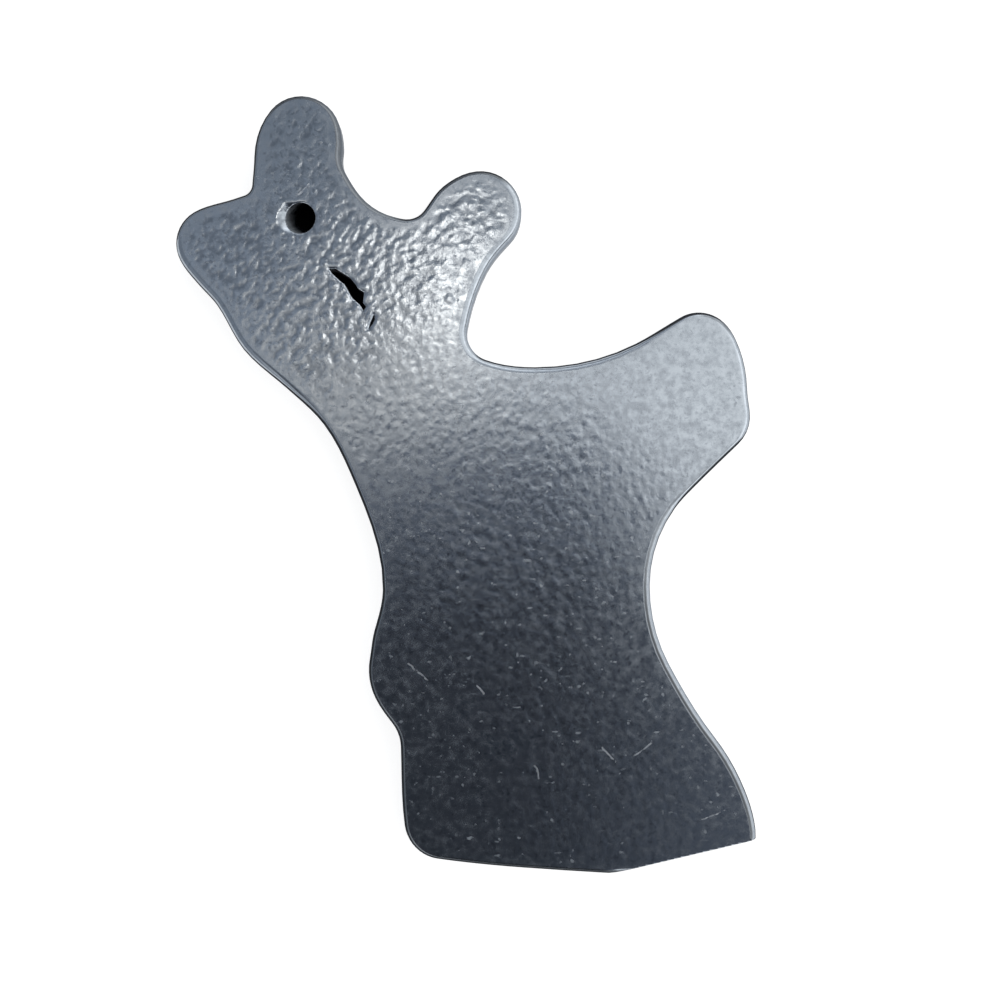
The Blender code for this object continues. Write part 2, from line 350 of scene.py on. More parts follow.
@dataclass(frozen=True)
class Room:
    """The light of the room, as the world's colour by direction.

    A spot of the room is named by the spot of the plate's flat face that mirrors it up to the
    camera: metres to the right of and above the middle of the picture. The room is dim on the left
    and bright on the right, where its window is. A dark screen leans over the plate's foot.

    Attributes:
        face_distance: How far the camera is from the plate's front face.
        dim: The light on the left.
        bright: The light on the right.
        ramp_start: Where the light starts to rise from dim.
        ramp_end: Where it is bright.
        ramp_lean: How far the ramp moves to the left for each metre up. Under 0, it moves right.
        ramp_height: The height at which it lies just between its start and its end.
        ramp_reach: How far above that height it still leans.
        window: The light of the window.
        window_start: Where the window starts to show.
        window_end: Where it is full.
        lamps: The lamps and the shade.
        screen_top: The screen's highest spot.
        screen_fall_left: How fast its top falls off to the left, as a parabola.
        screen_fall_right: How fast it falls off to the right.
        screen_left: Where the screen is gone on the left, and where it is whole.
        screen_right: Where it is gone on the right, and where it is whole.
        screen_softness: Half the width of its soft edge, at its highest spot.
        screen_blur: How much that grows for each metre to the right.
        flank_height: How high the straight part of its edge would be at its highest spot.
        flank_slope: How far that part falls for each metre to the right.
        screen_shade: The screen's light deep down.
        screen_side_shade: What that gains on the right.
        screen_side: Where that gain is full.
        screen_glow: What its light gains at its top.
        screen_glow_depth: How far down that reaches.
        horizon_left: The light near the horizon on the left.
        horizon_right: The light near the horizon on the right.
        horizon_front: The light near the horizon past the plate's foot.
        horizon_top: The sine of the angle over which the horizon's light is gone.
        horizon_bottom: The sine of the angle under which there is only that light.
        side_turn: The directions' X between which the horizon's left becomes its right.
        front_turn: The directions' Y between which its front ends.
        screen_colour: The tint of the screen's light.
        least_rise: The least Z of a direction for which a spot is worked out.
    """

    face_distance: float
    dim: tuple[float, float, float] = (0.285, 0.322, 0.372)
    bright: tuple[float, float, float] = (1.33, 1.33, 1.31)
    ramp_start: float = -36.0 * MM
    ramp_end: float = 28.0 * MM
    ramp_lean: float = -1.05
    ramp_height: float = 14.0 * MM
    ramp_reach: float = 22.0 * MM
    window: tuple[float, float, float] = (1.9, 1.9, 1.88)
    window_start: float = 60.0 * MM
    window_end: float = 200.0 * MM
    lamps: tuple[Lamp, ...] = (
        Lamp(-3.9 * MM, 21.7 * MM, 9.3 * MM, (4.1, 3.8, 3.4)),
        Lamp(-31.0 * MM, 19.0 * MM, 23.0 * MM, (0.12, 0.13, 0.15)),
        Lamp(-14.0 * MM, 10.0 * MM, 19.0 * MM, (0.28, 0.22, 0.14)),
        Lamp(-11.5 * MM, 27.5 * MM, 6.5 * MM, (-0.24, -0.23, -0.21)),
        Lamp(-110.0 * MM, -75.0 * MM, 90.0 * MM, (0.14, 0.14, 0.14)),
        Lamp(15.0 * MM, 125.0 * MM, 90.0 * MM, (1.3, 1.3, 1.3)),
    )
    screen_top: tuple[float, float] = (4.3 * MM, 8.6 * MM)
    screen_fall_left: float = 9.0
    screen_fall_right: float = 56.0
    screen_left: tuple[float, float] = (-75.0 * MM, -40.0 * MM)
    screen_right: tuple[float, float] = (100.0 * MM, 40.0 * MM)
    screen_softness: float = 1.0 * MM
    screen_blur: float = 0.35
    flank_height: float = -5.0 * MM
    flank_slope: float = 0.35
    screen_shade: float = 0.048
    screen_side_shade: float = 0.09
    screen_side: float = 26.0 * MM
    screen_glow: float = 0.185
    screen_glow_depth: float = 25.0 * MM
    horizon_left: float = 0.6
    horizon_right: float = 1.4
    horizon_front: float = 0.06
    horizon_top: float = math.sin(math.radians(13))
    horizon_bottom: float = math.sin(math.radians(8))
    side_turn: tuple[float, float] = (-0.7, 0.5)
    front_turn: tuple[float, float] = (-0.9, -0.55)
    screen_colour: tuple[float, float, float] = (0.87, 0.98, 1.2)
    least_rise: float = 0.02

    def spot(self, graph: ShaderGraph) -> tuple[Socket, Socket, bpy.types.NodeOutputs]:
        """The spot of the flat face that mirrors a direction, and the direction itself.

        Args:
            graph: The world's graph.

        Returns:
            The sockets of the spot's x and y in metres, and the direction's own X, Y and Z.
        """
        axes = graph.axes(graph.node("ShaderNodeTexCoord").outputs["Generated"])
        rise = graph.calculate("MAXIMUM", axes["Z"], self.least_rise)
        places = []
        for axis in ("X", "Y"):
            slope = graph.calculate("DIVIDE", axes[axis], rise)
            places.append(graph.calculate("MULTIPLY", slope, self.face_distance))
        return places[0], places[1], axes

    def light(self, graph: ShaderGraph, x: Socket, y: Socket) -> Socket:
        """The room without the screen: a ramp from left to right, the window, the lamps and a shade.

        Args:
            graph: The world's graph.
            x: The spot's x.
            y: The spot's y.

        Returns:
            The socket of the light's colour.
        """
        above = graph.calculate("SUBTRACT", y, self.ramp_height)
        above = graph.calculate("MINIMUM", above, self.ramp_reach)
        across = graph.calculate("MULTIPLY_ADD", above, self.ramp_lean, x)
        ramp = graph.fade(across, self.ramp_start, self.ramp_end)
        level = graph.blend_colours(ramp, (*self.dim, 1.0), (*self.bright, 1.0))
        window = graph.fade(x, self.window_start, self.window_end)
        level = graph.blend_colours(window, level, (*self.window, 1.0))
        spot = graph.joined(x, y)
        for lamp in self.lamps:
            near = graph.fade(graph.distance(spot, (lamp.x, lamp.y, 0.0)), lamp.radius, 0.0)
            lit = graph.node("ShaderNodeVectorMath", {0: lamp.light, "Scale": near}, operation="SCALE")
            both = graph.node("ShaderNodeVectorMath", {0: level, 1: lit.outputs[0]}, operation="ADD")
            level = both.outputs[0]
        return level

    def screen(self, graph: ShaderGraph, x: Socket, y: Socket) -> Socket:
        """Where the dark screen hides the room.

        Args:
            graph: The world's graph.
            x: The spot's x.
            y: The spot's y.

        Returns:
            The socket of a mask: 1 on the screen, 0 off it.
        """
        off = graph.calculate("SUBTRACT", x, self.screen_top[0])
        left = graph.calculate("MINIMUM", off, 0.0)
        right = graph.calculate("MAXIMUM", off, 0.0)
        top = self.screen_top[1]
        for side, fall in ((left, self.screen_fall_left), (right, self.screen_fall_right)):
            square = graph.calculate("MULTIPLY", side, side)
            top = graph.calculate("MULTIPLY_ADD", square, -fall, top)
        flank = graph.calculate("MULTIPLY_ADD", right, -self.flank_slope, self.flank_height)
        top = graph.calculate("MAXIMUM", top, flank)
        softness = graph.calculate("MULTIPLY_ADD", right, self.screen_blur, self.screen_softness)
        below = graph.calculate("DIVIDE", graph.calculate("SUBTRACT", top, y), softness)
        cover = graph.fade(below, -1.0, 1.0)
        for side in (self.screen_left, self.screen_right):
            cover = graph.calculate("MULTIPLY", cover, graph.fade(x, *side))
        return cover

    def build(self) -> None:
        """Makes the world."""
        world = bpy.data.worlds.new("room")
        world.use_nodes = True
        graph = ShaderGraph(world.node_tree)
        x, y, direction = self.spot(graph)
        east, north, rise = (direction[axis] for axis in "XYZ")
        glow = graph.fade(y, self.screen_top[1] - self.screen_glow_depth, self.screen_top[1])
        side = graph.calculate("MULTIPLY", graph.fade(x, 0.0, self.screen_side), self.screen_side_shade)
        glow = graph.calculate("MULTIPLY_ADD", glow, self.screen_glow, side)
        shade = graph.node("ShaderNodeVectorMath", {0: self.screen_colour}, operation="SCALE")
        graph.feed(shade.inputs["Scale"], graph.calculate("ADD", glow, self.screen_shade))
        seen = graph.blend_colours(self.screen(graph, x, y), self.light(graph, x, y), shade.outputs[0])
        low = graph.fade(rise, self.horizon_top, self.horizon_bottom)
        pale = graph.blend(graph.fade(east, *self.side_turn), self.horizon_left, self.horizon_right)
        pale = graph.blend(graph.fade(north, *self.front_turn), self.horizon_front, pale)
        seen = graph.blend_colours(low, seen, pale)
        rays = graph.node("ShaderNodeLightPath").outputs
        backdrop = graph.calculate("MAXIMUM", rays["Is Camera Ray"], rays["Is Transmission Ray"])
        mirrored = graph.calculate("MULTIPLY", rays["Is Glossy Ray"], low)
        backdrop = graph.calculate("MAXIMUM", backdrop, mirrored)
        seen = graph.blend_colours(backdrop, seen, WHITE)
        background = graph.node("ShaderNodeBackground", {"Color": seen, "Strength": 1.0})
        graph.node("ShaderNodeOutputWorld", {"Surface": background.outputs[0]})
        bpy.context.scene.world = world


@dataclass
class Table:
    """The white table top that the plate lies on, and a black card under the plate's openings, which is
    painted shade seen through them.

    Attributes:
        opening: The middle of the plate's drilled hole, half-way through the plate.
        width: How wide the table top is.
        drop: How far under the plate it lies. The card lies half as far.
        glow: How bright it looks to the camera and in the metal, before the light on it is added.
        white: How much of that light it gives back.
        card_radius: The radius of the card.
        card_offset: How far the card's middle is from the hole's, so that the mouth is over it too.
        card_steps: The number of its corners.
        shade_card_colour: Its colour, the black of the painted shade.
    """

    opening: Vector
    width: float = 6.0
    drop: float = 0.3 * MM
    glow: float = 0.86
    white: float = 0.35
    card_radius: float = 7.6 * MM
    card_offset: tuple[float, float] = (2.3 * MM, -5.1 * MM)
    card_steps: int = 64
    shade_card_colour: tuple[float, float, float, float] = (0.004, 0.004, 0.005, 1.0)

    def top_material(self) -> bpy.types.Material:
        """Makes the table top white to the camera and in the metal, with the plate's soft shadow.

        Returns:
            The material.
        """
        material, graph = new_material("white_table_top")
        rays = graph.node("ShaderNodeLightPath").outputs
        shown = graph.calculate("MAXIMUM", rays["Is Camera Ray"], rays["Is Glossy Ray"])
        shown = graph.calculate("MAXIMUM", shown, rays["Is Transmission Ray"])
        white = (self.white, self.white, self.white, 1.0)
        paint = graph.node("ShaderNodeBsdfDiffuse", {"Color": white})
        strength = graph.calculate("MULTIPLY", shown, self.glow)
        glow = graph.node("ShaderNodeEmission", {"Color": WHITE, "Strength": strength})
        both = graph.node("ShaderNodeAddShader", {0: paint.outputs[0], 1: glow.outputs[0]})
        graph.surface(both.outputs[0])
        return material

    def shade_card_material(self) -> bpy.types.Material:
        """Makes the black of the card, the painted shade that shows through the openings.

        Returns:
            The material.
        """
        material, graph = new_material("black_card")
        graph.surface(graph.node("ShaderNodeBsdfDiffuse", {"Color": self.shade_card_colour}).outputs[0])
        return material

    def build(self) -> None:
        """Makes both pieces."""
        shape = bmesh.new()
        bmesh.ops.create_grid(shape, x_segments=1, y_segments=1, size=self.width / 2)
        bmesh.ops.translate(shape, verts=shape.verts, vec=(0.0, 0.0, -self.drop))
        finished_piece(shape, "table_top", self.top_material())
        # The card is painted shade: the hole and the mouth show black over it.
        shape = bmesh.new()
        bmesh.ops.create_circle(shape, cap_ends=True, segments=self.card_steps, radius=self.card_radius)
        middle = self.opening + Vector((*self.card_offset, 0.0))
        bmesh.ops.translate(shape, verts=shape.verts, vec=(middle.x, middle.y, -self.drop / 2))
        finished_piece(shape, "hole_card", self.shade_card_material())


def new_material(name: str) -> tuple[bpy.types.Material, ShaderGraph]:
    """Starts a material.

    Args:
        name: Its name.

    Returns:
        The material and its empty graph.
    """
    material = bpy.data.materials.new(name)
    material.use_nodes = True
    return material, ShaderGraph(material.node_tree)


def finished_piece(shape: bmesh.types.BMesh, name: str, material: bpy.types.Material) -> bpy.types.Object:
    """Turns a shape into an object in the scene and frees the shape.

    Args:
        shape: The shape, in its place.
        name: The object's name.
        material: What it is made of.

    Returns:
        The object, at the origin.
    """
    mesh = bpy.data.meshes.new(name)
    shape.to_mesh(mesh)
    shape.free()
    mesh.materials.append(material)
    piece = bpy.data.objects.new(name, mesh)
    bpy.context.scene.collection.objects.link(piece)
    return piece


@dataclass(frozen=True)
class Crests:
    """A soft noise of which only the crests show.

    Attributes:
        size: How wide one swell of the noise is, in metres.
        detail: How many finer layers there are.
        roughness: How much the finer layers weigh.
        low: The noise that gives 0.
        high: The noise that gives 1.
    """

    size: float
    detail: float
    roughness: float
    low: float
    high: float

    def mask(self, graph: ShaderGraph, place: Socket) -> Socket:
        """Where the crests are: 1 on them, 0 between them."""
        return graph.fade(graph.noise(place, self.size, self.detail, self.roughness), self.low, self.high)


@dataclass(frozen=True)
class TumbledAluminium:
    """The finish: bluish cast aluminium, tumbled until it shines, with dull hollows and painted shade on
    its rims.

    Its heights are those of the front face's side, and the back face's side is alike. Where a
    field is a pair for the grain, it is for no grain and for full grain.

    Attributes:
        hole: The middle of the drilled hole on the front face. The lower half of the hole's wall has no
            painted shade.
        scratches: The start and end of each scratch, in metres in the frame.
        scratch_width: How wide a scratch is, with its soft sides.
        scratch_wander: How far it wanders off its line.
        scratch_bend: How long one such swing is.
        scratch_gaps: Where a scratch shows at all.
        bore_radius: The radius around the hole within which the wall's lower half has no painted shade.
        bore_shade: Half the height over which painted shade sets in on that wall towards the antlers.
        colour: The metal.
        dull_colour: The metal in hollows and crumbs.
        fresh_colour: The metal in a scratch.
        rim_shade_colour: The painted shade on the rims, near black.
        wall_colour: The painted shade lower down on the walls, a dull dark grey.
        wall_top: The height at which the walls' colour starts.
        wall_bottom: The height at which it is full.
        edge_tint: The metal where it is seen at a grazing angle.
        polish: The roughness of the polished metal.
        matt: The roughness of the specks, the scratches and the steep sides.
        side_matt: The roughness under the painted shade on the rims.
        cloud_matt: What clouds add to the roughness, for the grain.
        side_metal: How metallic the steep sides are.
        rim_shade_top: The height at which the painted shade on the sides starts.
        rim_shade_bottom: The height at which it is full.
        polished_shade_drop: How much lower the painted shade starts where the rim is polished.
        veil_top: The height at which a veil of painted shade starts.
        veil_bottom: The height at which it is full.
        dim_start: The height at which the painted shade of a dimmed rim starts.
        dim_top: The height at which it is full.
        dim_bottom: The height at which it is gone again.
        dots: The specks.
        dashes: The drawn-out specks.
        dash_turn: How far the dashes are turned.
        dash_stretch: How they are drawn out.
        crowds: Where the specks and dashes are.
        clouds: Where the metal is cloudy.
        crumbs: The small dull crumbs.
        crumb_dullness: How dull a crumb is, for the grain.
        hollow_dullness: How dull a hollow is.
        cloud_dullness: How dull a cloud is.
        ripple_size: How wide one swell of the finest ripple is.
        ripple_roughness: How much its finer layers weigh.
        streak_size: How wide one of its streaks is.
        streak_turn: How far the streaks are turned.
        streak_stretch: How they are drawn out.
        streak_weight: How much they weigh beside the ripple.
        ripple_share: How much of the ripple there is, for the grain.
        bump_height: How high the ripple is.
    """

    hole: Vector
    scratches: tuple[tuple[float, float, float, float], ...] = (
        (-5.7 * MM, -17.8 * MM, -3.9 * MM, -19.4 * MM),
        (1.1 * MM, -19.9 * MM, 1.8 * MM, -20.8 * MM),
        (6.9 * MM, -28.0 * MM, 7.3 * MM, -29.2 * MM),
        (13.6 * MM, -26.2 * MM, 14.9 * MM, -27.6 * MM),
        (16.5 * MM, -27.2 * MM, 18.4 * MM, -25.7 * MM),
        (23.5 * MM, -33.3 * MM, 25.7 * MM, -32.4 * MM),
        (-16.6 * MM, 28.8 * MM, -15.6 * MM, 29.8 * MM),
    )
    scratch_width: float = 0.13 * MM
    scratch_wander: float = 0.2 * MM
    scratch_bend: float = 0.9 * MM
    scratch_gaps: Crests = Crests(0.4 * MM, 1.0, 0.5, 0.3, 0.55)
    bore_radius: float = 2.2 * MM
    bore_shade: float = 0.5 * MM
    colour: tuple[float, float, float, float] = (0.425, 0.466, 0.515, 1.0)
    dull_colour: tuple[float, float, float, float] = (0.19, 0.215, 0.25, 1.0)
    fresh_colour: tuple[float, float, float, float] = (0.5, 0.53, 0.57, 1.0)
    rim_shade_colour: tuple[float, float, float, float] = (0.034, 0.036, 0.04, 1.0)
    wall_colour: tuple[float, float, float, float] = (0.13, 0.137, 0.15, 1.0)
    wall_top: float = 2.95 * MM
    wall_bottom: float = 2.5 * MM
    edge_tint: tuple[float, float, float, float] = (0.4, 0.42, 0.45, 1.0)
    polish: float = 0.11
    matt: float = 0.43
    side_matt: float = 0.3
    cloud_matt: tuple[float, float] = (0.16, 0.06)
    side_metal: float = 0.4
    rim_shade_top: float = 3.38 * MM
    rim_shade_bottom: float = 3.27 * MM
    polished_shade_drop: float = 0.22 * MM
    veil_top: float = 3.45 * MM
    veil_bottom: float = 3.42 * MM
    dim_start: float = 3.4999 * MM
    dim_top: float = 3.46 * MM
    dim_bottom: float = 3.28 * MM
    dots: Crests = Crests(0.6 * MM, 1.2, 0.5, 0.63, 0.82)
    dashes: Crests = Crests(0.5 * MM, 1.0, 0.5, 0.67, 0.82)
    dash_turn: float = math.radians(48)
    dash_stretch: tuple[float, float, float] = (0.4, 1.0, 1.0)
    crowds: Crests = Crests(2.6 * MM, 2.0, 0.6, 0.25, 0.65)
    clouds: Crests = Crests(0.9 * MM, 3.0, 0.65, 0.3, 0.75)
    crumbs: Crests = Crests(0.42 * MM, 2.0, 0.6, 0.5, 0.72)
    crumb_dullness: tuple[float, float] = (0.4, 0.75)
    hollow_dullness: float = 0.75
    cloud_dullness: float = 0.3
    ripple_size: float = 0.38 * MM
    ripple_roughness: float = 0.55
    streak_size: float = 0.6 * MM
    streak_turn: float = math.radians(-60)
    streak_stretch: tuple[float, float, float] = (1.0, 0.5, 1.0)
    streak_weight: float = 1.2
    ripple_share: tuple[float, float] = (0.1, 1.0)
    bump_height: float = 0.0072 * MM

    def level(self, graph: ShaderGraph, place: Socket) -> Socket:
        """Measures from the farther one of the plate's two flat faces, so that both rims are alike.

        Args:
            graph: The material's graph.
            place: The Object coordinates.

        Returns:
            The socket of that distance in metres.
        """
        height = graph.axes(place)["Z"]
        return graph.calculate("MAXIMUM", height, graph.calculate("SUBTRACT", self.hole.z, height))

    def sides(self, graph: ShaderGraph, place: Socket) -> tuple[Socket, Socket]:
        """Where the plate's rounded edge and sides are steep, and where shade is painted on them.

        Args:
            graph: The material's graph.
            place: The Object coordinates.

        Returns:
            The masks of the steep sides, and of the painted shade on them, which reaches up to the
            flat faces as a thin veil in places.
        """
        polished, bare, veiled, dimmed = (graph.mark(name) for name in RIM_MARKS)
        axes = graph.axes(place)
        level = self.level(graph, place)
        # Where the rim is polished, the painted shade starts lower down.
        height = graph.calculate("MULTIPLY_ADD", polished, self.polished_shade_drop, level)
        steep = graph.fade(height, self.rim_shade_top, self.rim_shade_bottom)
        steep = graph.blend(bare, steep, 0.0)
        # Around the hole, painted shade covers only the upper half of the wall; the lower half stays lit.
        off = graph.distance(graph.joined(axes["X"], axes["Y"]), (self.hole.x, self.hole.y, 0.0))
        outside = graph.calculate("GREATER_THAN", off, self.bore_radius)
        upper = graph.fade(axes["Y"], self.hole.y - self.bore_shade, self.hole.y + self.bore_shade)
        dark = graph.calculate("MULTIPLY", steep, graph.calculate("MAXIMUM", outside, upper))
        veiled = graph.calculate("MULTIPLY", veiled, graph.fade(level, self.veil_top, self.veil_bottom))
        for ends in ((self.dim_start, self.dim_top), (self.dim_bottom, self.dim_top)):
            dimmed = graph.calculate("MULTIPLY", dimmed, graph.fade(level, *ends))
        return steep, graph.calculate("MAXIMUM", dark, graph.calculate("MAXIMUM", veiled, dimmed))

    def specks(self, graph: ShaderGraph, place: Socket) -> Socket:
        """Where the rough specks and dashes are, which scatter the light.

        Args:
            graph: The material's graph.
            place: The Object coordinates.

        Returns:
            The socket of the mask.
        """
        dots = self.dots.mask(graph, place)
        dashes = self.dashes.mask(graph, graph.turned(place, self.dash_turn, self.dash_stretch))
        mask = graph.calculate("MAXIMUM", dots, dashes)
        return graph.calculate("MULTIPLY", mask, self.crowds.mask(graph, place))

    def scores(self, graph: ShaderGraph, place: Socket) -> Socket:
        """Where the scratches are, which aren't quite straight and have gaps.

        Args:
            graph: The material's graph.
            place: The Object coordinates.

        Returns:
            The socket of the mask.
        """
        mask: Feed = 0.0
        wander = graph.node(
            "ShaderNodeTexNoise",
            {"Vector": place, "Scale": 1 / self.scratch_bend, "Detail": 1.0},
        )
        swing = 2 * self.scratch_wander
        bent = graph.node(
            "ShaderNodeVectorMath",
            {0: wander.outputs["Color"], 1: (swing, swing, 0.0), 2: place},
            operation="MULTIPLY_ADD",
        )
        centred = graph.node(
            "ShaderNodeVectorMath",
            {0: bent.outputs[0], 1: (self.scratch_wander, self.scratch_wander, 0.0)},
            operation="SUBTRACT",
        ).outputs[0]
        patchy = self.scratch_gaps.mask(graph, place)
        for start_x, start_y, end_x, end_y in self.scratches:
            line = graph.near_line(
                centred,
                Vector((start_x, start_y, 0.0)),
                Vector((end_x, end_y, 0.0)),
                self.scratch_width,
            )
            mask = graph.calculate("MAXIMUM", mask, graph.calculate("MULTIPLY", line, patchy))
        return mask

    def build(self) -> bpy.types.Material:
        """Makes the material.

        Returns:
            A material that reads Object coordinates and the skin's own marks.
        """
        material, graph = new_material("tumbled_aluminium")
        place = graph.node("ShaderNodeTexCoord").outputs["Object"]
        grain = graph.mark(GRAIN)
        hollow = graph.mark(HOLLOW)
        steep, painted_rim_shade = self.sides(graph, place)
        scores = self.scores(graph, place)
        specks = graph.calculate("MAXIMUM", self.specks(graph, place), scores)

        clouds = self.clouds.mask(graph, place)
        crumbs = self.crumbs.mask(graph, place)
        dull = graph.calculate("MULTIPLY", crumbs, graph.blend(grain, *self.crumb_dullness))
        for mask, dullness in ((hollow, self.hollow_dullness), (clouds, self.cloud_dullness)):
            dull = graph.calculate("MAXIMUM", dull, graph.calculate("MULTIPLY", mask, dullness))
        colour = graph.blend_colours(dull, self.colour, self.dull_colour)
        colour = graph.blend_colours(scores, colour, self.fresh_colour)
        # The sides' painted shade: near black by the rim, a dull dark grey lower down the walls.
        wall = graph.fade(self.level(graph, place), self.wall_top, self.wall_bottom)
        side_shade_colour = graph.blend_colours(wall, self.rim_shade_colour, self.wall_colour)
        colour = graph.blend_colours(painted_rim_shade, colour, side_shade_colour)
        cloudy = graph.blend(grain, *(self.polish + more for more in self.cloud_matt))
        rough = graph.blend(clouds, self.polish, cloudy)
        for mask, roughness in ((specks, self.matt), (steep, self.matt), (painted_rim_shade, self.side_matt)):
            rough = graph.blend(mask, rough, roughness)

        fine = graph.noise(place, self.ripple_size, roughness=self.ripple_roughness)
        drawn = graph.turned(place, self.streak_turn, self.streak_stretch)
        streaks = graph.noise(drawn, self.streak_size)
        ripple = graph.calculate("MULTIPLY_ADD", streaks, self.streak_weight, fine)
        depth = graph.calculate("MULTIPLY", ripple, graph.blend(grain, *self.ripple_share))
        bump = graph.node(
            "ShaderNodeBump",
            {"Strength": 1.0, "Distance": self.bump_height, "Height": depth},
        )
        metal = graph.node(
            "ShaderNodeBsdfPrincipled",
            {
                "Base Color": colour,
                "Metallic": graph.calculate("MULTIPLY_ADD", steep, self.side_metal - 1.0, 1.0),
                "Roughness": rough,
                "Normal": bump.outputs["Normal"],
                "Specular IOR Level": 0.0,
                "Specular Tint": self.edge_tint,
            },
        )
        graph.surface(metal.outputs["BSDF"])
        return material


class Face(Enum):
    """A flat face of the plate, by the direction that it looks in."""

    FRONT = 1
    BACK = -1


@dataclass(frozen=True)
class GrainPatch:
    """A round patch of the skin where the tumbling left its pebbles, all drawn out one way.

    Attributes:
        x: Its middle, in metres in the frame.
        y: Its middle, in metres in the frame.
        radius: Where it has faded out.
        depth: How deep the creases are at its middle, in metres.
        heading: The way that its pebbles are drawn out, in degrees from +X.
        length: How long a pebble is.
        width: How wide a pebble is.
        fine_scale: How much finer the swells' second layer is.
        fine_weight: How much that layer weighs.
        swell_weight: How much of the relief the swells are.
        crease_weight: How much of it the creases between the pebbles are.
        crease_width: How wide a crease is, as a share of a pebble.
    """

    x: float
    y: float
    radius: float
    depth: float
    heading: float
    length: float = 1.2 * MM
    width: float = 0.75 * MM
    fine_scale: float = 2.1
    fine_weight: float = 0.6
    swell_weight: float = 0.6
    crease_weight: float = 0.4
    crease_width: float = 0.4

    def share(self, spot: Vector) -> float:
        """How strong the patch is at a spot: 1 in its middle, 0 past its radius."""
        return smoothstep(math.hypot(spot.x - self.x, spot.y - self.y), self.radius, CORE * self.radius)

    def relief(self, spot: Vector) -> float:
        """Works out the height of the pebbles.

        Args:
            spot: A spot on a flat face.

        Returns:
            The height there, as a share of the patch's depth.
        """
        turn = math.radians(self.heading)
        along = (spot.x * math.cos(turn) + spot.y * math.sin(turn)) / self.length
        across = (spot.y * math.cos(turn) - spot.x * math.sin(turn)) / self.width
        streak = Vector((along, across, self.heading))
        swell = noise.noise(streak) + self.fine_weight * noise.noise(streak * self.fine_scale)
        near, second = noise.voronoi(streak)[0][:2]
        crease = 1 - smoothstep(second - near, 0.0, self.crease_width)
        return self.swell_weight * swell - self.crease_weight * crease


@dataclass(frozen=True)
class RimStretch:
    """A stretch of the plate's rounded edge whose skin differs from the rest.

    Attributes:
        heading: The way that it looks, in degrees from +X.
        spread: How far that way may be off, in degrees.
        x: The middle of the area that it is in, in metres in the frame.
        y: The middle of the area that it is in, in metres in the frame.
        radius: Where it has faded out.
        amount: How strong it is.
    """

    heading: float
    spread: float
    x: float
    y: float
    radius: float
    amount: float

    def share(self, spot: Vector, outward: Vector) -> float:
        """How strong the stretch is at a spot of the edge.

        Args:
            spot: The spot.
            outward: The direction, along X and Y, in which the edge looks there.

        Returns:
            A share from 0 to the stretch's amount.
        """
        turn = math.degrees(math.atan2(outward.y, outward.x)) - self.heading
        off = abs((turn + 180) % 360 - 180)
        away = math.hypot(spot.x - self.x, spot.y - self.y)
        return (
            self.amount
            * smoothstep(off, self.spread, FIRM * self.spread)
            * smoothstep(away, self.radius, CORE * self.radius)
        )


